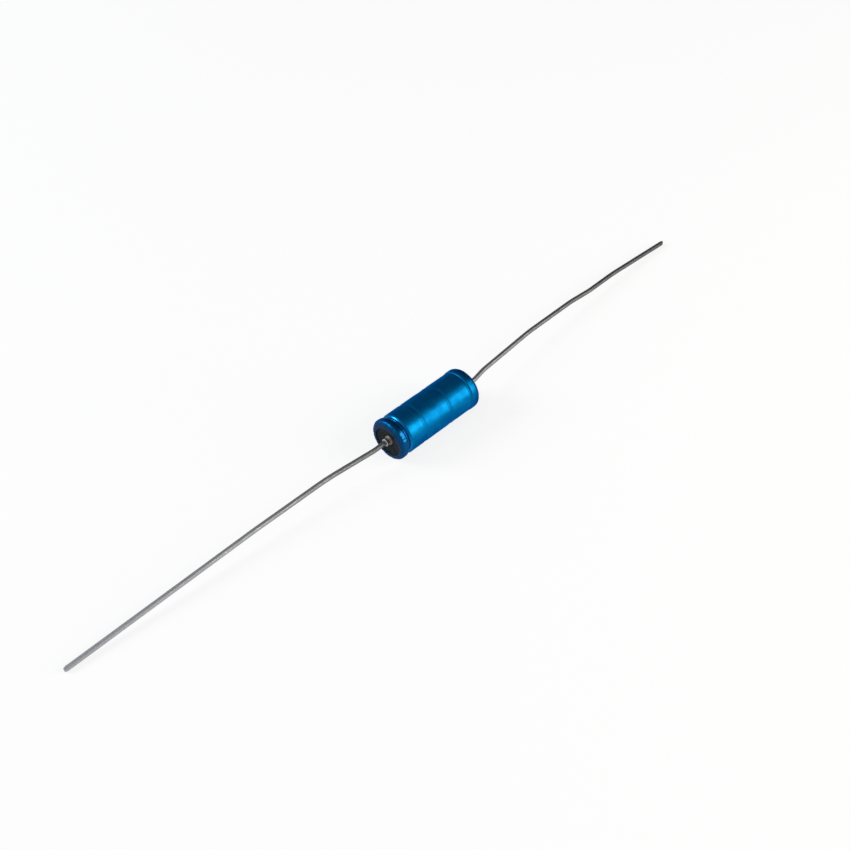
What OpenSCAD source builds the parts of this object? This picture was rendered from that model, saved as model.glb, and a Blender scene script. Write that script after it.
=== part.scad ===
// Axial aluminium electrolytic capacitor lying on its side.
// +X runs along the body towards the closed base, +Z is up and z = 0 is the surface it lies on.
// The body rests on its sleeve, and both wire ends come down to the same surface.

/* [Can] */
// Outside diameter of the bare can
can_d = 6.5; // [5:0.1:10]
// Length of the bare can
can_len = 17; // [12:0.1:30]
// Wall thickness of the can
can_wall = 0.25; // [0.2:0.01:0.3]
// Thickness of the closed base
base_wall = 0.35; // [0.25:0.01:0.6]
// Outer corner radius of the closed base
base_corner = 0.7; // [0.45:0.01:1]
// Outer corner radius of the curled rim
rim_corner = 0.45; // [0.4:0.01:0.55]
// Diameter of the opening that the curled rim leaves
rim_opening_d = 5.3; // [4.6:0.1:5.4]

/* [Bead] */
// Distance from the rim to the middle of the bead groove
bead_pos = 1.5; // [1.4:0.01:2.2]
// Depth of the bead groove
bead_depth = 0.5; // [0.35:0.01:0.6]
// Radius of the groove's floor
bead_floor_r = 0.35; // [0.3:0.01:0.5]
// Radius of the groove's two shoulders
bead_shoulder_r = 0.4; // [0.35:0.01:0.5]

/* [Sleeve] */
// Wall thickness of the shrunk sleeve
sleeve_wall = 0.18; // [0.1:0.01:0.25]
// How much the sleeve thickens where it shrinks over each end
sleeve_swell = 0.08; // [0.04:0.01:0.12]
// Diameter of the sleeve's opening at the rim
sleeve_front_d = 5.2; // [4.6:0.1:5.6]
// Diameter of the sleeve's opening at the base
sleeve_back_d = 4.4; // [3.2:0.1:5]
// Distance from the base to the neck where the thicker back end begins
neck_pos = 1.75; // [1.6:0.01:2.5]
// Depth of the neck below the straight sleeve
neck_depth = 0.08; // [0.04:0.01:0.15]
// Radius of the neck's floor and shoulders
neck_r = 0.35; // [0.3:0.01:0.5]
// Distance from the rim to the first shallow ring in the sleeve
ring_1_pos = 5.15; // [4:0.05:6]
// Distance from the base to the second shallow ring
ring_2_pos = 6.3; // [4:0.05:8]
// Depth of the shallow rings
ring_depth = 0.06; // [0.03:0.01:0.1]
// Radius of the shallow rings' floors and shoulders
ring_r = 0.9; // [0.6:0.05:1.2]

/* [Seal] */
// Thickness of the rubber facing
rubber_t = 0.35; // [0.25:0.01:0.4]
// Thickness of the hard paper disc
disc_t = 0.4; // [0.3:0.01:0.5]
// Diameter of the rivet's shank
shank_d = 0.9; // [0.8:0.01:1]
// Diameter of the rivet's head
rivet_head_d = 1.7; // [1.65:0.05:2.4]
// Height of the rivet's head
rivet_head_t = 0.35; // [0.3:0.01:0.4]
// Height of the stub that the wire is welded to
stub_h = 0.4; // [0.25:0.01:0.6]
// Diameter of the rivet's closed end
rivet_close_d = 1.5; // [1.3:0.05:1.8]
// Thickness of the rivet's closed end
rivet_close_t = 0.25; // [0.2:0.01:0.4]
// Diameter of the washer under the closed end
washer_d = 2; // [1.6:0.05:2.4]
// Thickness of the washer
washer_t = 0.2; // [0.15:0.01:0.3]

/* [Winding] */
// Outside diameter of the rolled foil and paper
winding_d = 5.5; // [4:0.1:5.6]
// Length of the rolled foils, without the paper's edges
winding_len = 12; // [8:0.1:12.4]
// Diameter of the hole that the mandrel leaves
mandrel_d = 1; // [0.8:0.1:1.4]
// How far the paper stands out past the foils at each end
paper_edge = 0.3; // [0.2:0.01:0.4]
// Thickness of one turn of paper at the ends
paper_t = 0.12; // [0.08:0.01:0.14]
// Pitch of the paper's turns
paper_pitch = 0.36; // [0.3:0.01:0.5]
// Thickness of the closing tape
tape_t = 0.06; // [0.04:0.01:0.08]
// Width of the closing tape
tape_w = 8; // [4:0.1:10]
// Angle that the closing tape covers
tape_angle = 250; // [180:5:300]

/* [Tabs] */
// Width of both foil tabs
tab_w = 1.5; // [1.4:0.05:2]
// Thickness of both foil tabs
tab_t = 0.1; // [0.08:0.01:0.15]
// Inner radius of the tabs' bends
tab_bend_r = 0.2; // [0.15:0.01:0.3]
// Length of each tab inside the roll
tab_in = 5; // [3:0.1:6]
// Distance of the anode tab from the roll's axis
anode_tab_off = 1.3; // [1.1:0.05:1.6]
// Distance of the cathode tab from the roll's axis
cathode_tab_off = 2; // [1.2:0.05:2.2]

/* [Leads] */
// Diameter of both wires
lead_d = 0.8; // [0.6:0.05:1]
// Length of each wire from its end of the body
lead_len = 57; // [50:1:70]
// Straight stretch of each wire at its root
root_run = 0.6; // [0.4:0.1:2]
// Radius of the bend that lets each wire down to the surface
drop_r = 8; // [4:1:15]
// Diameter of the weld collar on the anode stub
collar_d = 1.3; // [1.1:0.05:1.5]
// Height of the weld collar
collar_h = 0.25; // [0.2:0.01:0.4]
// Diameter of the weld on the can's base
weld_d = 1.7; // [1.4:0.05:2.2]
// Height of the weld on the can's base
weld_h = 0.45; // [0.3:0.01:0.7]

/* [Hidden] */
// Gap between round faces that fit together
fit_gap = 0.02;
// Gap round a tab in its slot in the roll
slot_gap = 0.04;
// How far a cutting shape runs past what it cuts
cut_past = 0.1;
// How much thinner a wire is drawn in its bends, and how far a bend reaches into the straights
bend_thin = 0.01;
bend_grip = 0.05;
// Steps in each drawn arc
arc_steps = 8;
half_turn = 180;
$fn = 96;

// Turns in each wire seen from above: straight run, angle to the left, bend radius. The runs and
// radii are parts of the wire's length.
anode_turns = [[0.007, 7.4, 0.175], [0.109, -5.2, 0.789], [0.193, -1.2, 1.053]];
cathode_turns = [[0.0053, 13, 0.105], [0.0316, -6.3, 0.21], [0.193, -3.9, 0.789],
    [0.1667, -4.4, 0.4386], [0.0596, 4.6, 0.263], [0.0877, -3.4, 0.877]];

can_r = can_d / 2;
lead_r = lead_d / 2;
shank_r = shank_d / 2;
winding_r = winding_d / 2;
rim_r = can_r + fit_gap + sleeve_wall + sleeve_swell;
axis_z = rim_r;

// Stations are measured along the body from the rim's outer face
rim_x = -can_len / 2;
rubber_s = can_wall;
disc_s = rubber_s + rubber_t;
tab_s = disc_s + disc_t;
washer_s = tab_s + tab_t;
close_s = washer_s + washer_t;
close_end_s = close_s + rivet_close_t;
base_in_s = can_len - base_wall;
winding_s = (close_end_s + base_in_s - winding_len) / 2;
winding_end_s = winding_s + winding_len;
stub_s = rubber_s - rivet_head_t - stub_h;
body_front_s = -fit_gap - sleeve_wall;
body_back_s = can_len + fit_gap + sleeve_wall;

// The hard disc is cut to the radius at which its lower edge lands on the bead
bead_centre_r = can_r - bead_depth + bead_floor_r;
disc_r = bead_centre_r
    - sqrt(pow(bead_floor_r + can_wall + fit_gap, 2) - pow(bead_pos - tab_s, 2));

// Points along an arc; angles in degrees
function arc(centre, r, from, to) = [for (i = [0:arc_steps])
    let (a = from + (to - from) * i / arc_steps) centre + r * [cos(a), sin(a)]];

// How far a shoulder's centre lies from a groove's when it drops by h, and the angle where they meet
function reach(h, sum) = sqrt(pow(sum, 2) - pow(sum - h, 2));
function lean(h, sum) = acos((sum - h) / sum);

// A round-bottomed groove at station s between surfaces of radius before and after, grown by d
function groove(s, floor_r, before, after, bottom_r, shoulder_r, d) =
    let (sum = bottom_r + shoulder_r,
        lead_in = lean(before - floor_r, sum),
        lead_out = lean(after - floor_r, sum),
        bottom = [floor_r + bottom_r, s])
    concat(
        arc([before - shoulder_r, s - reach(before - floor_r, sum)], shoulder_r + d, 0, lead_in),
        arc(bottom, bottom_r - d, half_turn + lead_in, half_turn - lead_out),
        arc([after - shoulder_r, s + reach(after - floor_r, sum)], shoulder_r + d, -lead_out, 0));

// Outline of the can's outer face from the rim to the base, as [radius, station], grown by d
function can_face(d) = concat(
    arc([can_r - rim_corner, rim_corner], rim_corner + d, -90, 0),
    groove(bead_pos, can_r - bead_depth, can_r, can_r, bead_floor_r, bead_shoulder_r, d),
    arc([can_r - base_corner, can_len - base_corner], base_corner + d, 0, 90));

// Outline of the sleeve's outer face, thicker over both ends
function sleeve_face(d) = let (end_r = can_r + sleeve_swell, ring_floor = can_r - ring_depth)
    concat(
        arc([end_r - rim_corner, rim_corner], rim_corner + d, -90, 0),
        groove(bead_pos, can_r - bead_depth, end_r, can_r, bead_floor_r, bead_shoulder_r, d),
        groove(ring_1_pos, ring_floor, can_r, can_r, ring_r, ring_r, d),
        groove(can_len - ring_2_pos, ring_floor, can_r, can_r, ring_r, ring_r, d),
        groove(can_len - neck_pos, can_r - neck_depth, can_r, end_r, neck_r, neck_r, d),
        arc([end_r - base_corner, can_len - base_corner], base_corner + d, 0, 90));

function flip(points) = [for (i = [len(points) - 1:-1:0]) points[i]];

// Turns an outline of [radius, station] points round the body's axis
module turned() {
    translate([rim_x, 0, axis_z]) rotate([0, 90, 0]) rotate_extrude() children();
}

// A disc or washer from station s, with a hole in it
module ring(s, r, hole_r, t) {
    turned() translate([hole_r, s]) square([r - hole_r, t]);
}

module sleeve() {
    front_r = sleeve_front_d / 2;
    back_r = sleeve_back_d / 2;
    color([0.02, 0.38, 0.72]) turned() polygon(concat(
        [[front_r, body_front_s]],
        sleeve_face(fit_gap + sleeve_wall),
        [[back_r, body_back_s], [back_r, can_len + fit_gap]],
        flip(can_face(fit_gap)),
        [[front_r, -fit_gap]]));
}

module can() {
    lip_r = (rim_opening_d + can_wall) / 2;
    inside = [for (p = can_face(-can_wall)) [p.x, min(p.y, base_in_s)]];
    color([0.78, 0.79, 0.8]) turned() polygon(concat(
        arc([lip_r, can_wall / 2], can_wall / 2, -half_turn, -90),
        can_face(0),
        [[0, can_len], [0, base_in_s]],
        flip(inside),
        arc([lip_r, can_wall / 2], can_wall / 2, 90, half_turn)));
}

// Rubber facing, rounded to fit inside the curled rim
module seal_rubber() {
    bore_r = shank_r + fit_gap;
    color([0.1, 0.09, 0.09]) turned() polygon(concat(
        [[bore_r, rubber_s]],
        arc([can_r - rim_corner - fit_gap, rim_corner], rim_corner - can_wall, -90, 0),
        [[can_r - can_wall - fit_gap, disc_s], [bore_r, disc_s]]));
}

module seal_disc() {
    color([0.36, 0.2, 0.1]) ring(disc_s, disc_r, shank_r + fit_gap, disc_t);
}

// Stub, domed head, shank and the closed end inside
module anode_rivet() {
    head_r = rivet_head_d / 2;
    head_s = rubber_s - rivet_head_t;
    color([0.8, 0.8, 0.82]) turned() polygon(concat(
        [[0, stub_s], [shank_r, stub_s], [shank_r, head_s]],
        arc([head_r - rivet_head_t, rubber_s], rivet_head_t, -90, 0),
        [[shank_r, rubber_s], [shank_r, close_s], [rivet_close_d / 2, close_s]],
        arc([rivet_close_d / 2 - rivet_close_t, close_s], rivet_close_t, 0, 90),
        [[0, close_end_s]]));
}

module rivet_washer() {
    color([0.7, 0.71, 0.73]) ring(washer_s, washer_d / 2, shank_r + fit_gap, washer_t);
}

// Strip that runs along the roll at a given height, then bends across the axis; flat_s is the
// station of its outer flat face, dir is +1 for a flat towards the base and -1 towards the rim
module tab(offset_z, in_s, flat_s, flat_end, dir) {
    bend_out = tab_bend_r + tab_t;
    bend = [flat_s - dir * bend_out, offset_z - bend_out];
    start = dir > 0 ? 0 : half_turn;
    translate([rim_x, tab_w / 2, axis_z]) rotate([90, 0, 0]) linear_extrude(tab_w)
        polygon(concat(
            [[in_s, offset_z]],
            arc(bend, bend_out, 90, start),
            [[flat_s, flat_end], [flat_s - dir * tab_t, flat_end]],
            arc(bend, tab_bend_r, start, 90),
            [[in_s, offset_z - tab_t]]));
}

module anode_tab() {
    hole_r = shank_r + fit_gap;
    color([0.72, 0.73, 0.75]) difference() {
        tab(anode_tab_off, winding_s + tab_in, tab_s, -washer_d / 2, -1);
        turned() translate([0, tab_s - cut_past]) square([hole_r, tab_t + 2 * cut_past]);
    }
}

module cathode_tab() {
    color([0.72, 0.73, 0.75])
        tab(cathode_tab_off, winding_end_s - tab_in, base_in_s, -washer_d / 2, 1);
}

// One end's paper edges: half rings on two centres make a spiral
module paper_edges(s) {
    inner_r = mandrel_d / 2 + paper_t;
    turns = floor((winding_r - inner_r - paper_t) / paper_pitch);
    for (i = [0:2 * turns - 1])
        translate([rim_x + s, 0, axis_z]) rotate([0, 90, 0])
            translate([0, (i % 2 == 0 ? 1 : -1) * paper_pitch / 4, 0])
                rotate([0, 0, i % 2 == 0 ? -90 : 90]) rotate_extrude(angle = half_turn)
                    translate([inner_r + i * paper_pitch / 2, 0]) square([paper_t, paper_edge]);
}

// Slot that a tab lies in, from in_s to out_s
module tab_slot(offset_z, in_s, out_s) {
    translate([rim_x + in_s, -tab_w / 2 - slot_gap, axis_z + offset_z - tab_t - slot_gap])
        cube([out_s - in_s, tab_w + 2 * slot_gap, tab_t + 2 * slot_gap]);
}

module winding() {
    color([0.86, 0.82, 0.7]) difference() {
        union() {
            ring(winding_s, winding_r, mandrel_d / 2, winding_len);
            paper_edges(winding_s - paper_edge);
            paper_edges(winding_end_s);
        }
        tab_slot(anode_tab_off, winding_s - paper_edge - cut_past,
            winding_s + tab_in + slot_gap);
        tab_slot(cathode_tab_off, winding_end_s - tab_in - slot_gap,
            winding_end_s + paper_edge + cut_past);
    }
}

module winding_tape() {
    color([0.88, 0.76, 0.4]) translate([rim_x + (winding_s + winding_end_s - tape_w) / 2, 0, axis_z])
        rotate([0, 90, 0]) rotate_extrude(angle = tape_angle)
            translate([winding_r + fit_gap, 0]) square([tape_t, tape_w]);
}

// Collar of metal squeezed out round the butt weld on the stub
module anode_weld() {
    color([0.62, 0.62, 0.64]) turned() polygon(concat(
        [[lead_r, stub_s]],
        arc([collar_d / 2 - collar_h / 2, stub_s - collar_h / 2], collar_h / 2, 90, -90),
        [[lead_r, stub_s - collar_h]]));
}

// Hollow-sided weld between the wire and the can's base
module cathode_weld() {
    color([0.62, 0.62, 0.64]) turned() polygon(concat(
        [[lead_r, can_len], [weld_d / 2, can_len]],
        [for (i = [1:arc_steps - 1]) let (a = 90 * i / arc_steps)
            [weld_d / 2 - (weld_d / 2 - lead_r - fit_gap) * sin(a),
                can_len + weld_h * (1 - cos(a))]],
        [[lead_r + fit_gap, can_len + weld_h], [lead_r, can_len + weld_h]]));
}

// A wire's path is drawn along +X from its root. Straight stretch:
module straight(l) {
    rotate([0, 90, 0]) cylinder(r = lead_r, h = l);
}

// Arc of wire that turns left by a positive angle and right by a negative one
module curve(angle, r) {
    grip = half_turn * bend_grip / (PI * r);
    mirror([0, angle < 0 ? 1 : 0, 0]) translate([0, r, 0]) rotate([0, 0, -90 - grip])
        rotate_extrude(angle = abs(angle) + 2 * grip) translate([r, 0]) circle(lead_r - bend_thin);
}

// Moves on to the end of such an arc
module past_curve(angle, r) {
    side = sign(angle);
    translate([r * sin(abs(angle)), side * r * (1 - cos(angle)), 0]) rotate([0, 0, angle]) children();
}

// The turns from number i on, then a straight end that brings the wire to its full length
module turns(list, i, left) {
    if (i < len(list)) {
        go = list[i][0];
        angle = list[i][1];
        r = list[i][2];
        straight(go);
        translate([go, 0, 0]) {
            curve(angle, r);
            past_curve(angle, r) turns(list, i + 1, left - go - arc_len(angle, r));
        }
    } else {
        straight(left);
    }
}

function arc_len(angle, r) = PI * r * abs(angle) / half_turn;
function in_mm(list) = [for (t = list) [t[0] * lead_len, t[1], t[2] * lead_len]];
function used(list, i = 0) = i < len(list)
    ? list[i][0] + arc_len(list[i][1], list[i][2]) + used(list, i + 1) : 0;
// How far forward the turned stretch of a wire reaches, starting at heading h
function forward(list, left, h = 0, i = 0) = i < len(list)
    ? let (go = list[i][0], angle = list[i][1], r = list[i][2])
        go * cos(h) + sign(angle) * r * (sin(h + angle) - sin(h))
        + forward(list, left - go - arc_len(angle, r), h + angle, i + 1)
    : left * cos(h);
// Angle that brings the end's underside down to z = 0: run*sin + (lead_r - drop_r)*cos = height
function drop_angle(run) = let (across = lead_r - drop_r)
    asin((axis_z - drop_r) / sqrt(run * run + across * across)) - atan2(across, run);

// Whole wire from its root, `left` being its length past the root's straight stretch
module wire(list, root, left) {
    fall = drop_angle(forward(list, left));
    straight(root);
    translate([root, 0, 0]) rotate([90, 0, 0]) {
        curve(-fall, drop_r);
        past_curve(-fall, drop_r) rotate([-90, 0, 0]) turns(list, 0, left);
    }
}

module anode_lead() {
    root = stub_s - body_front_s;
    color([0.66, 0.66, 0.66]) translate([rim_x + stub_s, 0, axis_z]) mirror([1, 0, 0])
        wire(in_mm(anode_turns), collar_h + root_run, lead_len + root - collar_h - root_run);
}

module cathode_lead() {
    root = body_back_s - can_len;
    color([0.66, 0.66, 0.66]) translate([rim_x + can_len, 0, axis_z])
        wire(in_mm(cathode_turns), root + root_run, lead_len - root_run);
}

sleeve();
can();
seal_rubber();
seal_disc();
anode_rivet();
rivet_washer();
anode_tab();
cathode_tab();
winding();
winding_tape();
anode_weld();
cathode_weld();
anode_lead();
cathode_lead();
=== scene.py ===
import math
import random

import bmesh
import bpy
from mathutils import Matrix, Vector


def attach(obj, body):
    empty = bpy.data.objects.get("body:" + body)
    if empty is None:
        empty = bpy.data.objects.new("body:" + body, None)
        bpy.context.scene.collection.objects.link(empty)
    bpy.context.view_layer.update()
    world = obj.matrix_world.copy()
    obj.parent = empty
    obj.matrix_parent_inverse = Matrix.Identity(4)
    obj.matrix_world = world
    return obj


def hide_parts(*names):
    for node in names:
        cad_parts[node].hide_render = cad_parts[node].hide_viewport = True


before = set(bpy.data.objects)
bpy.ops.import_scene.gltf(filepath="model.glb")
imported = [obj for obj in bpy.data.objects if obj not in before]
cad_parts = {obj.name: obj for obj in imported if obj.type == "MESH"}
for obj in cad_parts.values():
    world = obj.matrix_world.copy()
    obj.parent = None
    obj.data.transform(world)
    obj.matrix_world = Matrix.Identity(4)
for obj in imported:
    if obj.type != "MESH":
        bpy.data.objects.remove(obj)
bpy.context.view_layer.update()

# Camera. The part lies on a table and is seen from 45 degrees beside its open end and 45 degrees
# down, through a lens of moderate length held about 19 cm away. Nothing is shifted or blurred.
MM = 0.001
CAN_R = 3.25
AXIS_Z = 3.53
CAMERA_TURN = math.radians(-45.4)
CAMERA_DOWN = math.radians(44.85)
CAMERA_PLACE = (-0.33, -1.885, 188.2)
SENSOR = 36
LENS = 50.82
camera_data = bpy.data.cameras.new("camera")
camera_data.sensor_width = SENSOR
camera_data.lens = LENS
camera_data.clip_start = 0.01
camera = bpy.data.objects.new("camera", camera_data)
bpy.context.scene.collection.objects.link(camera)
camera.rotation_euler = (math.pi / 2 - CAMERA_DOWN, 0, CAMERA_TURN)
camera_axes = camera.rotation_euler.to_matrix()
camera.location = (Vector((0, 0, AXIS_Z)) + camera_axes @ Vector(CAMERA_PLACE)) * MM
bpy.context.scene.camera = camera
bpy.context.scene.view_settings.view_transform = "Standard"


# Floor. A matt white table top, cut round with an eased edge, wide enough to fill the view.
# It is lit like the part, and seen a step whiter near it so that only a soft shadow stays.
FLOOR_R = 1.5
FLOOR_EASE = 0.05
FLOOR_DROP = 0.02
FLOOR_WHITE = (0.93, 0.93, 0.93, 1)
FLOOR_LIFT = [(0.25, (0.8, 0.8, 0.8, 1)), (0.9, (0.3, 0.3, 0.3, 1))]


class Pattern:
    """One socket of a finish: sums written on it add Math nodes, and node() adds any other."""

    def __init__(self, tree, socket=None):
        self.tree = tree
        self.socket = socket

    def node(self, kind, settings=None, feeds=None, out=0):
        """Add a node of this kind, set it up, then set or link its inputs."""
        made = self.tree.nodes.new("ShaderNode" + kind)
        for key, value in (settings or {}).items():
            if key == "stops":
                ramp = made.color_ramp
                while len(ramp.elements) < len(value):
                    ramp.elements.new(1)
                for element, (position, colour) in zip(ramp.elements, value):
                    element.position = position
                    element.color = colour
            else:
                setattr(made, key, value)
        for key, value in (feeds or {}).items():
            if isinstance(value, Pattern):
                self.tree.links.new(value.socket, made.inputs[key])
            else:
                made.inputs[key].default_value = value
        return Pattern(self.tree, made.outputs[out])

    def math(self, operation, first, second=0.0):
        return self.node("Math", {"operation": operation}, {0: first, 1: second})

    def __add__(self, other):
        return self.math("ADD", self, other)

    def __sub__(self, other):
        return self.math("SUBTRACT", self, other)

    def __rsub__(self, other):
        return self.math("SUBTRACT", other, self)

    def __mul__(self, other):
        return self.math("MULTIPLY", self, other)

    __radd__ = __add__
    __rmul__ = __mul__


def select_none():
    bpy.ops.object.select_all(action="DESELECT")


def new_finish(name):
    """Start a material and give it, its pattern maker and its shader."""
    material = bpy.data.materials.new(name)
    material.use_nodes = True
    return material, Pattern(material.node_tree), material.node_tree.nodes["Principled BSDF"]


select_none()
bpy.ops.mesh.primitive_circle_add(
    vertices=128, radius=FLOOR_R, fill_type="NGON", location=(0, 0, -FLOOR_DROP))
floor = bpy.context.object
floor.name = "floor"
bpy.ops.object.transform_apply(location=True, rotation=True, scale=True)
bpy.ops.object.mode_set(mode="EDIT")
bpy.ops.mesh.select_all(action="SELECT")
bpy.ops.mesh.inset(thickness=FLOOR_EASE)
bpy.ops.transform.translate(value=(0, 0, FLOOR_DROP))
bpy.ops.object.mode_set(mode="OBJECT")
floor_finish, maker, floor_shader = new_finish("matt_white_table")
floor_shader.inputs["Base Color"].default_value = FLOOR_WHITE
floor_shader.inputs["Roughness"].default_value = 0.9
floor_shader.inputs["Specular IOR Level"].default_value = 0.0
rays = [maker.node("LightPath", out=name)
        for name in ("Is Camera Ray", "Is Glossy Ray", "Is Transmission Ray")]
seen = maker.math("MAXIMUM", maker.math("MAXIMUM", rays[0], rays[1]), rays[2])
away = maker.node("VectorMath", {"operation": "LENGTH"}, {0: maker.node("TexCoord", out="Object")},
                  out="Value")
lift = maker.node("ValToRGB", {"stops": FLOOR_LIFT}, {"Fac": away * (1 / FLOOR_R)})
lifted = maker.node(
    "MixShader", {},
    {0: seen * lift,
     1: Pattern(maker.tree, floor_shader.outputs[0]),
     2: maker.node("Emission", {}, {"Color": (1, 1, 1, 1), "Strength": 1.0})})
maker.tree.links.new(
    lifted.socket, maker.tree.nodes["Material Output"].inputs["Surface"])
floor.data.materials.append(floor_finish)


# Lights. One soft box at the right draws the bright band along the sleeve, another a little
# higher at the left lights the table. The room is pale on the left and dim on the right, which
# leaves the sleeve's upper side dark.
def soft_box(name, direction, distance, size, watts, tint):
    """Hang a square soft box in a direction from the part, turned to face it."""
    lamp = bpy.data.lights.new(name, "AREA")
    lamp.color = tint
    lamp.shape = "SQUARE"
    lamp.size = size
    lamp.energy = watts
    box = bpy.data.objects.new(name, lamp)
    bpy.context.scene.collection.objects.link(box)
    towards = Vector(direction).normalized()
    box.location = towards * distance + Vector((0, 0, AXIS_Z * MM))
    box.rotation_euler = towards.to_track_quat("Z", "Y").to_euler()


soft_box("front_soft_box", (0.505, -0.76, 0.41), 0.40, 0.26, 1.2, (1, 0.99, 0.84))
soft_box("back_soft_box", (-0.62, 0.62, 0.48), 0.60, 0.26, 2.4, (0.96, 0.98, 1))
WALLS = [(0.0, (0.70, 0.70, 0.71, 1)), (0.45, (0.49, 0.50, 0.52, 1)),
         (0.68, (0.20, 0.21, 0.24, 1)), (1.0, (0.07, 0.075, 0.09, 1))]
HORIZON = (0.55, 0.55, 0.56, 1)
WALL_FOOT = 0.26
world = bpy.data.worlds.new("pale_left_wall_and_dim_right_wall")
world.use_nodes = True
maker = Pattern(world.node_tree)
way = maker.node("TexCoord", out="Generated")
rightward = maker.node("SeparateXYZ", {}, {0: way}, out="X")
upward = maker.node("SeparateXYZ", {}, {0: way}, out="Z")
walls = maker.node("ValToRGB", {"stops": WALLS}, {"Fac": rightward * 0.5 + 0.5})
above = maker.node("MapRange", {"interpolation_type": "SMOOTHSTEP"}, {
    "Value": upward, "From Min": 0.0, "From Max": WALL_FOOT})
room = maker.node("Mix", {"data_type": "RGBA"}, {0: above, 6: HORIZON, 7: walls}, out=2)
maker.tree.links.new(room.socket, world.node_tree.nodes["Background"].inputs["Color"])
bpy.context.scene.world = world


# Winding. Two aluminium foils and two strips of absorbent paper rolled on a mandrel. The paper
# is wider than the foils, so its edges stand out as a spiral at both ends of the roll.
FOIL_END = 6.0
STEP_NEAR = 0.02
STEP_FAR = 0.06
ROLL_MIDDLE = 0.6
LAYER_PITCH = 0.09
PAPER = (0.74, 0.64, 0.45, 1)
PAPER_DARK = (0.58, 0.47, 0.30, 1)
FOIL = (0.62, 0.63, 0.65, 1)


def in_mm(maker, stretch=(1, 1, 1)):
    """Object coordinates in millimetres, with the body's axis as zero in Y and Z."""
    place = maker.node("TexCoord", out="Object")
    centred = maker.node("VectorMath", {"operation": "SUBTRACT"},
                         {0: place, 1: (0, 0, AXIS_Z * MM)})
    return maker.node("Mapping", {}, {
        "Vector": centred, "Scale": [factor / MM for factor in stretch]})


def split(maker, place):
    """The X, Y and Z of a place."""
    return [maker.node("SeparateXYZ", {}, {0: place}, out=axis) for axis in "XYZ"]


def radius_of(maker, place):
    """Distance from the body's axis."""
    _, across, up = split(maker, place)
    return maker.math("SQRT", across * across + up * up)


def noise(maker, place, scale, detail=3.0, rough=0.5):
    """Cloudy variation from 0 to 1, so many clouds to the millimetre."""
    return maker.node("TexNoise", {}, {
        "Vector": place, "Scale": scale, "Detail": detail, "Roughness": rough})


def step_up(maker, value, low, high):
    """Rises smoothly from 0 at low to 1 at high."""
    return maker.node("MapRange", {"interpolation_type": "SMOOTHSTEP"}, {
        "Value": value, "From Min": low, "From Max": high})


def blend(maker, mask, first, second):
    """The first colour where the mask is 0 and the second where it is 1."""
    return maker.node("Mix", {"data_type": "RGBA"}, {0: mask, 6: first, 7: second}, out=2)


def relief(maker, height, depth):
    """Surface normal of a pattern whose full height is so many millimetres."""
    return maker.node("Bump", {}, {"Strength": 1.0, "Distance": depth * MM, "Height": height})


def fit(maker, shader, **patterns):
    """Link patterns to the shader's sockets; underscores stand for spaces."""
    for name, pattern in patterns.items():
        maker.tree.links.new(pattern.socket, shader.inputs[name.replace("_", " ")])


def dress(node, material):
    """Give a solid of the model its finish."""
    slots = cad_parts[node].data.materials
    slots.clear()
    slots.append(material)


roll_finish, maker, shader = new_finish("foil_and_paper_roll")
place = in_mm(maker)
along = maker.math("ABSOLUTE", split(maker, place)[0] - ROLL_MIDDLE)
at_end = step_up(maker, along, FOIL_END - STEP_FAR, FOIL_END - STEP_NEAR)
standing = step_up(maker, along, FOIL_END + STEP_NEAR, FOIL_END + STEP_FAR)
layers = maker.math("SINE", radius_of(maker, place) * (math.tau / LAYER_PITCH)) * 0.5 + 0.5
foil_shows = at_end * (1 - standing) * step_up(maker, layers, 0.4, 0.7)
fibres = noise(maker, in_mm(maker, (0.6, 3, 3)), 4, 5, 0.6)
paper_colour = blend(maker, step_up(maker, fibres, 0.3, 0.75), PAPER_DARK, PAPER)
fit(maker, shader,
    Base_Color=blend(maker, foil_shows, paper_colour, FOIL),
    Metallic=foil_shows,
    Roughness=0.85 - foil_shows * 0.45,
    Normal=relief(maker, fibres + layers * at_end, 0.012))
dress("winding", roll_finish)


# Closing tape. A thin amber strip stuck round the roll to keep it from unwinding. It is
# clear film with a slight stretch across, and takes a little of the paper's tone.
TAPE_AMBER = (0.70, 0.45, 0.13, 1)
TAPE_PALE = (0.80, 0.60, 0.27, 1)
tape_finish, maker, shader = new_finish("amber_tape")
streaks = noise(maker, in_mm(maker, (3, 0.4, 0.4)), 2, 4)
fit(maker, shader,
    Base_Color=blend(maker, streaks, TAPE_AMBER, TAPE_PALE),
    Roughness=0.22 + streaks * 0.2,
    Normal=relief(maker, streaks, 0.01))
shader.inputs["Coat Weight"].default_value = 0.4
dress("winding_tape", tape_finish)


# Tabs. Strips of soft aluminium stitched to each foil inside the roll, one punched over the
# rivet and the other pressed against the can's base. They keep the mill's rolling lines.
ALUMINIUM = (0.77, 0.78, 0.80, 1)
ALUMINIUM_DULL = (0.62, 0.63, 0.65, 1)


def bare_aluminium(name, stretch, rough=0.3, depth=0.004, bright=ALUMINIUM, dull=ALUMINIUM_DULL):
    """Bright aluminium with fine lines along the directions that are stretched least."""
    material, maker, shader = new_finish(name)
    lines = noise(maker, in_mm(maker, stretch), 1, 4, 0.6)
    clouds = noise(maker, in_mm(maker), 1.3, 3)
    shader.inputs["Metallic"].default_value = 1.0
    fit(maker, shader,
        Base_Color=blend(maker, step_up(maker, clouds, 0.3, 0.8), bright, dull),
        Roughness=rough + clouds * 0.12 + lines * 0.08,
        Normal=relief(maker, lines, depth))
    return material


tab_finish = bare_aluminium("rolled_tab", (0.7, 40, 12))
dress("anode_tab", tab_finish)
dress("cathode_tab", tab_finish)


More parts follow.
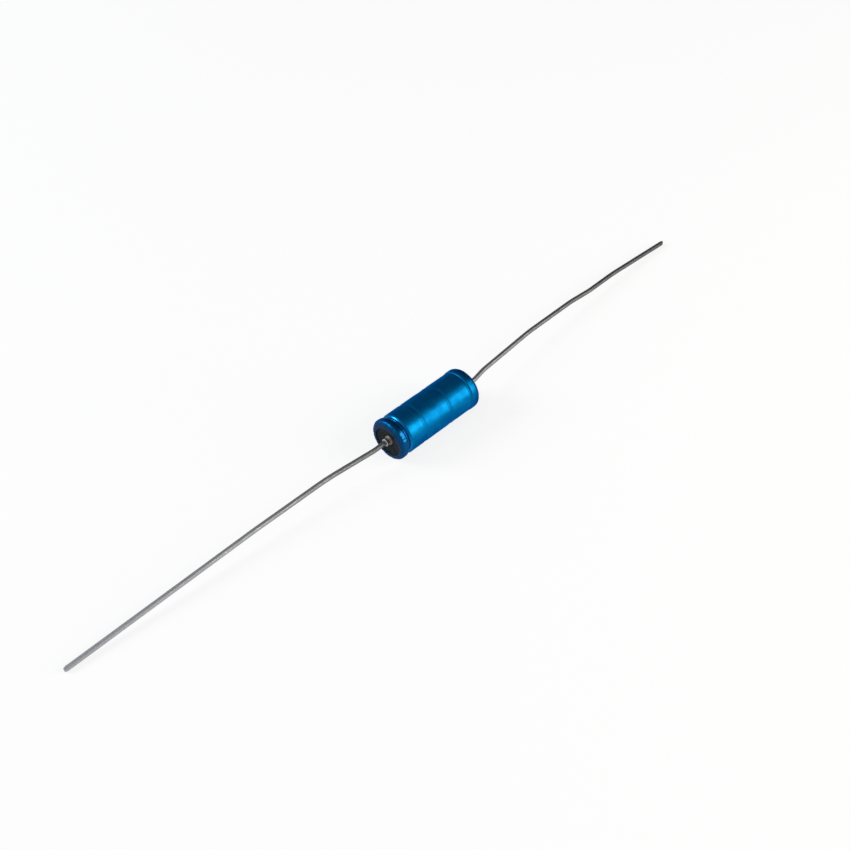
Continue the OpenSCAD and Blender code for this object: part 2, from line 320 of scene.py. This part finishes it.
# Seal disc. Punched from hard laminated paper, resin-brown, with its layers showing at the
# edge; it lands on the bead and carries the rubber and the rivet.
RESIN_BROWN = (0.20, 0.085, 0.030, 1)
RESIN_DARK = (0.10, 0.040, 0.016, 1)
disc_finish, maker, shader = new_finish("hard_paper")
layers = noise(maker, in_mm(maker, (30, 0.8, 0.8)), 1, 2)
fibres = noise(maker, in_mm(maker, (1, 1, 4)), 5, 5, 0.6)
fit(maker, shader,
    Base_Color=blend(maker, layers * 0.5 + fibres * 0.5, RESIN_DARK, RESIN_BROWN),
    Roughness=0.35 + fibres * 0.25,
    Normal=relief(maker, fibres, 0.006))
dress("seal_disc", disc_finish)


# Rivet and washer. A soft aluminium rivet goes through rubber, disc and tab, and is closed over
# a washer inside. Its domed head sits on the rubber and its stub takes the wire's butt weld.
RIM_X = -8.5
HEAD_R = 0.85
HEAD_T = 0.35
SHANK_R = 0.45
STUB_H = 0.4
RUBBER_S = 0.25
CLOSE_S = 1.3
CLOSE_R = 0.75
CLOSE_T = 0.25
EDGE_EASE = 0.06
HEAD_DISH = 0.04
RIVET_GREY = (0.19, 0.18, 0.175, 1)
RIVET_DULL = (0.11, 0.10, 0.098, 1)
WELD_GAP = 1e-7
SHARP = math.radians(35)


def arc(centre, radius, start, end, steps=10):
    """Points of (radius, station) along an arc, with its angles in degrees."""
    angles = [math.radians(start + (end - start) * i / steps) for i in range(steps + 1)]
    return [(centre[0] + radius * math.cos(a), centre[1] + radius * math.sin(a)) for a in angles]


def turned(name, outline, sides=96):
    """Draw an outline of (radius, station) points edge by edge and spin it round the axis."""
    select_none()
    spots = [Vector((RIM_X + station, 0, AXIS_Z + radius)) * MM for radius, station in outline]
    bpy.ops.mesh.primitive_plane_add(size=MM, location=spots[0])
    piece = bpy.context.object
    piece.name = name
    bpy.ops.object.transform_apply(location=True, rotation=True, scale=True)
    bpy.ops.object.mode_set(mode="EDIT")
    bpy.ops.mesh.select_all(action="SELECT")
    bpy.ops.mesh.merge(type="CENTER")
    for here, there in zip(spots, spots[1:]):
        bpy.ops.mesh.extrude_region_move(TRANSFORM_OT_translate={"value": there - here})
    bpy.ops.mesh.select_all(action="SELECT")
    bpy.ops.mesh.spin(steps=sides, angle=math.tau, center=(0, 0, AXIS_Z * MM), axis=(1, 0, 0))
    bpy.ops.mesh.select_all(action="SELECT")
    bpy.ops.mesh.remove_doubles(threshold=WELD_GAP)
    bpy.ops.mesh.normals_make_consistent(inside=False)
    bpy.ops.object.mode_set(mode="OBJECT")
    return piece


def complete(piece, material, slot, *nodes):
    """Smooth a piece, give it its finish and put it in place of its solid."""
    select_none()
    piece.select_set(True)
    bpy.context.view_layer.objects.active = piece
    bpy.ops.object.shade_smooth_by_angle(angle=SHARP)
    piece.data.materials.clear()
    piece.data.materials.append(material)
    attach(piece, "root")
    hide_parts(*nodes)


head_s = RUBBER_S - HEAD_T
rivet = turned(
    "rivet",
    [(0, head_s - STUB_H)]
    + arc((SHANK_R - EDGE_EASE, head_s - STUB_H + EDGE_EASE), EDGE_EASE, -90, 0, 4)
    + arc((SHANK_R + EDGE_EASE, head_s + HEAD_DISH - EDGE_EASE), EDGE_EASE, 180, 90, 4)
    + arc((HEAD_R - HEAD_T, RUBBER_S), HEAD_T, -75, 0, 12)
    + [(SHANK_R, RUBBER_S), (SHANK_R, CLOSE_S), (CLOSE_R, CLOSE_S)]
    + arc((CLOSE_R - CLOSE_T, CLOSE_S), CLOSE_T, 0, 90, 8)
    + [(0, CLOSE_S + CLOSE_T)])
complete(rivet, bare_aluminium("pressed_rivet", (6, 6, 6), 0.42, 0.006, RIVET_GREY, RIVET_DULL),
         "bare_aluminium", "anode_rivet")
dress("rivet_washer", bare_aluminium("stamped_washer", (2, 2, 20), 0.34))


# Rubber facing. A dark moulded rubber disc bonded to the hard paper and gripped by the curled
# rim. It bulges a little between the rim and the rivet, and its skin is matt and faintly grained.
RUBBER_T = 0.35
RIM_CORNER = 0.45
FIT_GAP = 0.02
CAN_WALL = 0.25
LIP_R = 2.775
LIP_GAP = 0.01
RIVET_SEAT = [(0.02, 0), (0.05, -0.05), (0.12, -0.08)]
RUBBER_BULGE = [(1.3, 0.13), (1.7, 0.09), (2.1, 0.04), (2.32, -0.005), (2.46, -0.02),
                (2.56, -0.015), (2.62, 0.0), (2.64, 0.04)]
RUBBER_BLACK = (0.004, 0.006, 0.008, 1)
RUBBER_BLOOM = (0.021, 0.027, 0.034, 1)
disc_s = RUBBER_S + RUBBER_T
rubber = turned(
    "rubber_facing",
    [(SHANK_R + FIT_GAP, RUBBER_S)]
    + [(HEAD_R + out, RUBBER_S + down) for out, down in RIVET_SEAT] + RUBBER_BULGE
    + arc((LIP_R, CAN_WALL / 2), CAN_WALL / 2 + LIP_GAP, 180, 90, 6)
    + arc((CAN_R - RIM_CORNER - FIT_GAP, RIM_CORNER), RIM_CORNER - CAN_WALL - LIP_GAP, -90, 0, 6)
    + [(CAN_R - CAN_WALL - FIT_GAP, disc_s), (SHANK_R + FIT_GAP, disc_s),
       (SHANK_R + FIT_GAP, RUBBER_S)])
rubber_finish, maker, shader = new_finish("dark_rubber")
place = in_mm(maker)
grain = noise(maker, place, 14, 4, 0.65)
bloom = noise(maker, place, 1.6, 3)
fit(maker, shader,
    Base_Color=blend(maker, step_up(maker, bloom, 0.45, 0.8), RUBBER_BLACK, RUBBER_BLOOM),
    Roughness=0.5 + bloom * 0.25,
    Normal=relief(maker, grain, 0.012))
shader.inputs["Specular IOR Level"].default_value = 0.1
complete(rubber, rubber_finish, "dark_rubber", "seal_rubber")


# Can. Drawn from soft aluminium sheet, with a bead rolled in behind the seal and the rim curled
# over the rubber. The curled lip and the middle of the closed base show past the sleeve, with
# the rings that drawing left and the mark of the weld's heat.
CAN_LEN = 17
BASE_WALL = 0.35
BASE_CORNER = 0.7
BEAD_S = 1.5
BEAD_DEPTH = 0.5
BEAD_FLOOR_R = 0.35
BEAD_SHOULDER_R = 0.4
BASE_RING = [(2.1, 0), (2.0, -0.03), (1.9, 0)]
HEATED_X = (8.3, 8.4)
HEAT_FADES_R = (0.9, 1.5)
CAN_MATT = (0.56, 0.56, 0.57, 1)
CAN_STAIN = (0.27, 0.265, 0.26, 1)


def groove(station, floor_r, before, after, bottom, shoulder, grow):
    """Points of a round-bottomed groove between two radii, grown by so much."""
    total = bottom + shoulder

    def side(radius):
        drop = radius - floor_r
        return (math.sqrt(total ** 2 - (total - drop) ** 2),
                math.degrees(math.acos((total - drop) / total)))

    (reach_in, lean_in), (reach_out, lean_out) = side(before), side(after)
    return (arc((before - shoulder, station - reach_in), shoulder + grow, 0, lean_in)
            + arc((floor_r + bottom, station), bottom - grow, 180 + lean_in, 180 - lean_out, 16)
            + arc((after - shoulder, station + reach_out), shoulder + grow, -lean_out, 0))


def can_face(grow):
    """The can's outer face from rim to base."""
    return (arc((CAN_R - RIM_CORNER, RIM_CORNER), RIM_CORNER + grow, -90, 0)
            + groove(BEAD_S, CAN_R - BEAD_DEPTH, CAN_R, CAN_R,
                     BEAD_FLOOR_R, BEAD_SHOULDER_R, grow)
            + arc((CAN_R - BASE_CORNER, CAN_LEN - BASE_CORNER), BASE_CORNER + grow, 0, 90))


base_in = CAN_LEN - BASE_WALL
inside = [(r, min(s, base_in)) for r, s in can_face(-CAN_WALL)]
can = turned(
    "drawn_can",
    arc((LIP_R, CAN_WALL / 2), CAN_WALL / 2, 180, 270, 6) + can_face(0)
    + [(radius, CAN_LEN + rise) for radius, rise in BASE_RING] + [(0, CAN_LEN), (0, base_in)]
    + inside[::-1] + arc((LIP_R, CAN_WALL / 2), CAN_WALL / 2, 90, 180, 6), 128)
can_finish, maker, shader = new_finish("drawn_can")
place = in_mm(maker)
along, _, _ = split(maker, place)
from_axis = radius_of(maker, place)
rings = noise(maker, maker.node("CombineXYZ", {}, {"X": from_axis, "Y": along}), 9, 4, 0.65)
clouds = noise(maker, place, 1.3, 3)
heated = step_up(maker, along, *HEATED_X) * (1 - step_up(maker, from_axis, *HEAT_FADES_R))
shader.inputs["Metallic"].default_value = 1.0
fit(maker, shader,
    Base_Color=blend(maker, clouds * 0.4 + rings * 0.35 + heated * 0.5, CAN_MATT, CAN_STAIN),
    Roughness=0.36 + clouds * 0.14 + rings * 0.12,
    Normal=relief(maker, rings, 0.02))
complete(can, can_finish, "bare_aluminium", "can")


# Sleeve. A tube of metallic blue film shrunk over the can with hot air. It is drawn down into
# the bead, laps over the curled rim and the base, and thickens and puckers where it shrank most.
# Its lap hangs lower over the top of the open end.
SLEEVE_WALL = 0.18
SWELL = 0.08
SLEEVE_FRONT_R = 2.6
SLEEVE_BACK_R = 2.2
RING_1_S = 5.15
RING_2_S = CAN_LEN - 6.3
RING_DEPTH = 0.06
RING_R = 0.9
NECK_S = CAN_LEN - 1.75
NECK_DEPTH = 0.08
NECK_R = 0.35
STRETCH_STEP = 0.35
FILM_SEED = 11
CREASES = 17
CREASE_DEPTH = 0.06
RIM_REACH = 0.32
BASE_REACH = 0.36
RIM_LINE = [(-0.2, 2.75, 0.9, 0), (-0.15, 3.1, 0.9, -0.3), (0.05, 3.4, 0.7, -0.7),
            (0.4, 3.53, 0, -1), (0.75, 3.5, 0, -0.7)]
BASE_LINE = [(17.2, 2.4, -0.9, 0), (17.15, 2.8, -0.9, -0.2), (16.9, 3.3, -0.6, -0.7),
             (16.4, 3.52, 0, -0.9)]
CUT_EASE = 0.05
LAP_SAG = 0.42
LAP_SAG_FROM = 0.35
LAP_SAG_REACH = 0.9
SLACK_SPOTS = 26
SLACK_DEPTH = 0.05
SLACK_RUN = (2.8, 14.5)
SLACK_REACH = (0.8, 1.8)
NEAR_LAP_X = (-8.62, -8.45)
FAR_LAP_X = (8.5, 8.66)
BEAD_FROM_X = (-8.4, -8.15)
BEAD_TO_X = (-6.7, -6.4)
# The film darkens towards both ends: partly the thicker film shrunk over them, partly painted shade
# on the rolled rim and base.
NEAR_THICK_SHADE_X = (-7.5, -7.0)
FAR_THICK_SHADE_X = (6.9, 7.7)
FAR_THICK_SHADE = 0.75
FILM_BLUE = (0.002, 0.156, 0.366, 1)
FILM_DEEP = (0.001, 0.108, 0.300, 1)
FILM_THICK_AND_SHADED = (0.001, 0.072, 0.205, 1)
FILM_LAP = (0.003, 0.031, 0.088, 1)
FILM_EDGE = (0.05, 0.40, 0.70, 1)


def sleeve_face(grow):
    """The sleeve's outer face from rim to base, thicker over both ends."""
    end_r = CAN_R + SWELL
    return (arc((end_r - RIM_CORNER, RIM_CORNER), RIM_CORNER + grow, -90, 0, 14)
            + groove(BEAD_S, CAN_R - BEAD_DEPTH, end_r, CAN_R,
                     BEAD_FLOOR_R, BEAD_SHOULDER_R, grow)
            + groove(RING_1_S, CAN_R - RING_DEPTH, CAN_R, CAN_R, RING_R, RING_R, grow)
            + groove(RING_2_S, CAN_R - RING_DEPTH, CAN_R, CAN_R, RING_R, RING_R, grow)
            + groove(NECK_S, CAN_R - NECK_DEPTH, CAN_R, end_r, NECK_R, NECK_R, grow)
            + arc((end_r - BASE_CORNER, CAN_LEN - BASE_CORNER), BASE_CORNER + grow, 0, 90, 14))


def stretched(points):
    """Add points along the long straight runs, so that the film can give a little there."""
    full = []
    for (r1, s1), (r2, s2) in zip(points, points[1:]):
        count = max(1, math.ceil(math.hypot(r2 - r1, s2 - s1) / STRETCH_STEP))
        full += [(r1 + (r2 - r1) * i / count, s1 + (s2 - s1) * i / count) for i in range(count)]
    return full + points[-1:]


front_s = -FIT_GAP - SLEEVE_WALL
back_s = CAN_LEN + FIT_GAP + SLEEVE_WALL
outer = stretched(
    arc((SLEEVE_FRONT_R + CUT_EASE, front_s + CUT_EASE), CUT_EASE, 180, 270, 4)
    + sleeve_face(FIT_GAP + SLEEVE_WALL)
    + arc((SLEEVE_BACK_R + CUT_EASE, back_s - CUT_EASE), CUT_EASE, 90, 180, 4))
inner = ([(SLEEVE_BACK_R, CAN_LEN + FIT_GAP)] + can_face(FIT_GAP)[::-1]
         + [(SLEEVE_FRONT_R, -FIT_GAP)])
sleeve = turned("shrunk_sleeve", outer + inner + outer[:1], 160)


def press(piece, spot, push, reach):
    """Push the film at one spot, letting what lies within reach give with it."""
    bpy.ops.mesh.select_all(action="DESELECT")
    mesh = bmesh.from_edit_mesh(piece.data)
    min(mesh.verts, key=lambda corner: (corner.co - spot).length_squared).select_set(True)
    bmesh.update_edit_mesh(piece.data)
    bpy.ops.transform.translate(
        value=push, use_proportional_edit=True, proportional_edit_falloff="SMOOTH",
        proportional_size=reach * MM)


def at(station, radius, angle):
    """Place on the body, with its angle from the top towards -Y."""
    across, up = -radius * math.sin(angle), radius * math.cos(angle)
    return Vector((RIM_X + station, across, AXIS_Z + up)) * MM


def crease(piece, angle, line, depth, reach):
    """Press a crease along a line of (station, radius, way along, way out) round one end."""
    for station, radius, along_way, out_way in line:
        push = Vector((along_way, -out_way * math.sin(angle), out_way * math.cos(angle)))
        press(piece, at(station, radius, angle), push * depth * MM, reach)


film_hand = random.Random(FILM_SEED)
select_none()
sleeve.select_set(True)
bpy.context.view_layer.objects.active = sleeve
bpy.ops.object.mode_set(mode="EDIT")
for i in range(CREASES):
    angle = (i + film_hand.uniform(-0.3, 0.3)) * math.tau / CREASES
    depth = film_hand.uniform(0.3, 1.0) * CREASE_DEPTH
    crease(sleeve, angle, RIM_LINE, depth, RIM_REACH)
    angle = (i + film_hand.uniform(-0.3, 0.3)) * math.tau / CREASES
    depth = film_hand.uniform(0.3, 1.1) * CREASE_DEPTH
    crease(sleeve, angle, BASE_LINE, depth, BASE_REACH)
bpy.ops.mesh.select_all(action="DESELECT")
mesh = bmesh.from_edit_mesh(sleeve.data)
for corner in mesh.verts:
    rise = corner.co.z - AXIS_Z * MM
    out = math.hypot(corner.co.y, rise)
    at_cut = corner.co.x < RIM_X * MM and out < (SLEEVE_FRONT_R + CUT_EASE) * MM
    if at_cut and rise > out * LAP_SAG_FROM:
        corner.select_set(True)
bmesh.update_edit_mesh(sleeve.data)
bpy.ops.transform.translate(
    value=(0, 0, -LAP_SAG * MM), use_proportional_edit=True,
    proportional_edit_falloff="SMOOTH", proportional_size=LAP_SAG_REACH * MM)
for _ in range(SLACK_SPOTS):
    spot = at(film_hand.uniform(*SLACK_RUN), CAN_R + FIT_GAP + SLEEVE_WALL,
              film_hand.uniform(0, math.tau))
    inward = Vector((0, -spot.y, AXIS_Z * MM - spot.z)).normalized()
    press(sleeve, spot, inward * film_hand.uniform(0.3, 1.0) * SLACK_DEPTH * MM,
          film_hand.uniform(*SLACK_REACH))
bpy.ops.object.mode_set(mode="OBJECT")
film_finish, maker, shader = new_finish("metallic_blue_film")
place = in_mm(maker)
along, _, _ = split(maker, place)
lap = (1 - step_up(maker, along, *NEAR_LAP_X)) + step_up(maker, along, *FAR_LAP_X)
bead = step_up(maker, along, *BEAD_FROM_X) * (1 - step_up(maker, along, *BEAD_TO_X))
streaks = noise(maker, in_mm(maker, (0.12, 1.6, 1.6)), 1.2, 4, 0.6)
clouds = noise(maker, in_mm(maker), 0.7, 3)
peel = noise(maker, in_mm(maker), 5, 2)
film_colour = blend(maker, step_up(maker, streaks * 0.5 + clouds * 0.5, 0.35, 0.65),
                    FILM_BLUE, FILM_DEEP)
# Painted shade together with real thickening: the film's colour darkens towards both ends, partly
# for the thicker film there and partly as shade on the rolled ends.
thick_and_shade = ((1 - step_up(maker, along, *NEAR_THICK_SHADE_X))
         + step_up(maker, along, *FAR_THICK_SHADE_X) * FAR_THICK_SHADE)
film_colour = blend(maker, thick_and_shade, film_colour, FILM_THICK_AND_SHADED)
fit(maker, shader,
    Base_Color=blend(maker, lap, film_colour, FILM_LAP),
    Metallic=1.0 - lap * 0.35,
    Roughness=0.38 + clouds * 0.10 + lap * 0.14 - bead * 0.15,
    Coat_Weight=lap * 0.06 + bead * 0.1,
    Normal=relief(maker, streaks * 0.6 + peel * 0.4, 0.012))
shader.inputs["Coat Roughness"].default_value = 0.1
shader.inputs["Specular Tint"].default_value = FILM_EDGE
complete(sleeve, film_finish, "blue_film", "sleeve")


# Welds. The wire is butt welded to the rivet's stub, which squeezes out a small collar, and to
# the middle of the base, where the metal flows up round the wire. Both are left rough and grey.
LEAD_R = 0.4
COLLAR_R = 0.65
COLLAR_H = 0.25
WELD_R = 0.85
WELD_H = 0.45
FUSED = (0.46, 0.455, 0.44, 1)
SCORCHED = (0.17, 0.155, 0.145, 1)
weld_finish, maker, shader = new_finish("fused_metal")
place = in_mm(maker)
scale_marks = noise(maker, place, 3.5, 4, 0.6)
pits = noise(maker, place, 16, 3, 0.6)
shader.inputs["Metallic"].default_value = 1.0
fit(maker, shader,
    Base_Color=blend(maker, step_up(maker, scale_marks, 0.45, 0.75), FUSED, SCORCHED),
    Roughness=0.36 + scale_marks * 0.3,
    Normal=relief(maker, pits, 0.02))


def slump(piece, size, depth):
    """Let the weld's surface sink unevenly, as it set."""
    texture = bpy.data.textures.new(piece.name + "_slump", "CLOUDS")
    texture.noise_scale = size * MM
    sink = piece.modifiers.new("slump", "DISPLACE")
    sink.texture = texture
    sink.texture_coords = "LOCAL"
    sink.mid_level = 1.0
    sink.strength = depth * MM
    select_none()
    piece.select_set(True)
    bpy.context.view_layer.objects.active = piece
    bpy.ops.object.modifier_apply(modifier=sink.name)


stub_s = RUBBER_S - HEAD_T - STUB_H
collar = turned(
    "rivet_weld",
    [(LEAD_R, stub_s)]
    + arc((COLLAR_R - COLLAR_H / 2, stub_s - COLLAR_H / 2), COLLAR_H / 2, 90, -90, 12)
    + [(LEAD_R, stub_s - COLLAR_H), (LEAD_R, stub_s)], 64)
slump(collar, 0.3, 0.05)
complete(collar, weld_finish, "weld_metal", "anode_weld")
hollow = [(WELD_R - (WELD_R - LEAD_R - FIT_GAP) * math.sin(a), CAN_LEN + WELD_H * (1 - math.cos(a)))
          for a in [math.radians(90 * i / 14) for i in range(15)]]
base_weld = turned(
    "base_weld",
    [(LEAD_R, CAN_LEN)] + hollow + [(LEAD_R, CAN_LEN + WELD_H), (LEAD_R, CAN_LEN)], 64)
slump(base_weld, 0.35, 0.04)
complete(base_weld, weld_finish, "weld_metal", "cathode_weld")


# Wires. Tinned copper-clad steel, 0.8 mm across and stiff, straight at the root and handled into
# slow bends, cut with side cutters that leave a pinched chisel tip. They lie on the table.
LEAD_SIDES = 28
LEAD_LEN = 57
ROOT_RUN = 0.6
DROP_R = 8
BEND_STEP = 12
PINCH_RUN = 0.4
PINCH = [(0.4, 0.85), (0.6, 0.5)]
# Painted shade along the wires: these stops darken the tin where the wires take less light.
WIRE_SHADE_SPAN = 140
TIN = (0.42, 0.42, 0.445, 1)
TIN_SHADED = (0.105, 0.106, 0.112, 1)
WIRE_SHADE_STOPS = [(0.1, (0, 0, 0, 1)), (0.25, (0.25, 0.25, 0.25, 1)), (0.42, (0.78, 0.78, 0.78, 1)),
           (0.6, (0.56, 0.56, 0.56, 1)), (0.75, (0.88, 0.88, 0.88, 1)), (0.85, (1, 1, 1, 1))]
ANODE_TURNS = [(0.399, 7.4, 9.975), (6.213, -5.2, 44.973), (11.001, -1.2, 60.021)]
CATHODE_TURNS = [(0.302, 13, 5.985), (1.801, -6.3, 11.97), (11.001, -3.9, 44.973),
                 (9.502, -4.4, 25.0), (3.397, 4.6, 14.991), (4.999, -3.4, 49.989)]


def drop_angle(turns, left):
    """Angle that lets the wire's far end down on to the table, and the length left to it."""
    heading, reach, rest = 0.0, 0.0, left
    for run, angle, radius in turns:
        turn = math.radians(angle)
        swing = math.copysign(radius, turn) * (math.sin(heading + turn) - math.sin(heading))
        reach += run * math.cos(heading) + swing
        rest -= run + radius * abs(turn)
        heading += turn
    reach += rest * math.cos(heading)
    across = LEAD_R - DROP_R
    fall = math.asin((AXIS_Z - DROP_R) / math.hypot(reach, across)) - math.atan2(across, reach)
    return fall, rest


def wire(name, root_x, way, root, turns, left):
    """Draw a round section along straight runs and spin it through bends: run, angle, radius."""
    select_none()
    bpy.ops.mesh.primitive_circle_add(
        vertices=LEAD_SIDES, radius=LEAD_R * MM, fill_type="NGON",
        location=(root_x * MM, 0, AXIS_Z * MM), rotation=(0, math.pi / 2, 0))
    piece = bpy.context.object
    piece.name = name
    bpy.ops.object.transform_apply(location=True, rotation=True, scale=True)
    bpy.ops.object.mode_set(mode="EDIT")
    bpy.ops.mesh.select_all(action="SELECT")
    here = Vector((root_x, 0, AXIS_Z))
    ahead, side = Vector((way, 0, 0)), Vector((0, 1, 0))

    def run_on(length):
        nonlocal here
        bpy.ops.mesh.extrude_region_move(
            TRANSFORM_OT_translate={"value": ahead * length * MM})
        here = here + ahead * length

    def bend(inward, angle, radius):
        """Turn towards a side; gives the turn that the headings take."""
        nonlocal here
        centre = here + inward * radius
        axis = ahead.cross(inward)
        bpy.ops.mesh.spin(steps=max(4, math.ceil(math.degrees(angle) * radius / BEND_STEP)),
                          angle=angle, center=centre * MM, axis=-axis)
        swing = Matrix.Rotation(angle, 3, axis)
        here = centre + swing @ (here - centre)
        return swing

    fall, rest = drop_angle(turns, left)
    run_on(root)
    ahead = bend(Vector((0, 0, -1)), fall, DROP_R) @ ahead
    for run, angle, radius in turns:
        run_on(run)
        swing = bend(side * math.copysign(1, angle), math.radians(abs(angle)), radius)
        ahead, side = swing @ ahead, swing @ side
    run_on(rest - PINCH_RUN)
    for share, width in PINCH:
        run_on(PINCH_RUN * share)
        bpy.ops.transform.resize(value=(1, width, 1), center_override=here * MM)
    bpy.ops.mesh.select_all(action="SELECT")
    bpy.ops.mesh.remove_doubles(threshold=WELD_GAP)
    bpy.ops.mesh.normals_make_consistent(inside=False)
    bpy.ops.object.mode_set(mode="OBJECT")
    return piece


tin_finish, maker, shader = new_finish("tinned_wire")
draw_lines = step_up(maker, noise(maker, in_mm(maker, (0.2, 14, 14)), 1, 4, 0.6), 0.35, 0.65)
nicks = step_up(maker, noise(maker, in_mm(maker, (2, 5, 5)), 1, 3), 0.60, 0.72)
handling = noise(maker, in_mm(maker, (0.5, 1.4, 1.4)), 0.7, 4, 0.6)
shader.inputs["Metallic"].default_value = 1.0
along, _, _ = split(maker, in_mm(maker))
# Painted shade: the tin darkens from the rivet wire's far end towards the body and along the base
# wire, where the wires take less light.
wire_shade = maker.node("ValToRGB", {"stops": WIRE_SHADE_STOPS}, {"Fac": along * (1 / WIRE_SHADE_SPAN) + 0.5})
fit(maker, shader,
    Base_Color=blend(maker, wire_shade + (handling - 0.5) * 0.25 + (draw_lines - 0.5) * 0.2,
                     TIN, TIN_SHADED),
    Roughness=0.34 + handling * 0.16 + draw_lines * 0.14 + nicks * 0.1,
    Normal=relief(maker, draw_lines - nicks, 0.006))
anode_lead = wire("rivet_wire", RIM_X + stub_s, -1, COLLAR_H + ROOT_RUN, ANODE_TURNS,
                  LEAD_LEN + (stub_s - front_s) - COLLAR_H - ROOT_RUN)
complete(anode_lead, tin_finish, "tinned_wire", "anode_lead")
cathode_lead = wire("base_wire", RIM_X + CAN_LEN, 1, back_s - CAN_LEN + ROOT_RUN, CATHODE_TURNS,
                    LEAD_LEN - ROOT_RUN)
complete(cathode_lead, tin_finish, "tinned_wire", "cathode_lead")
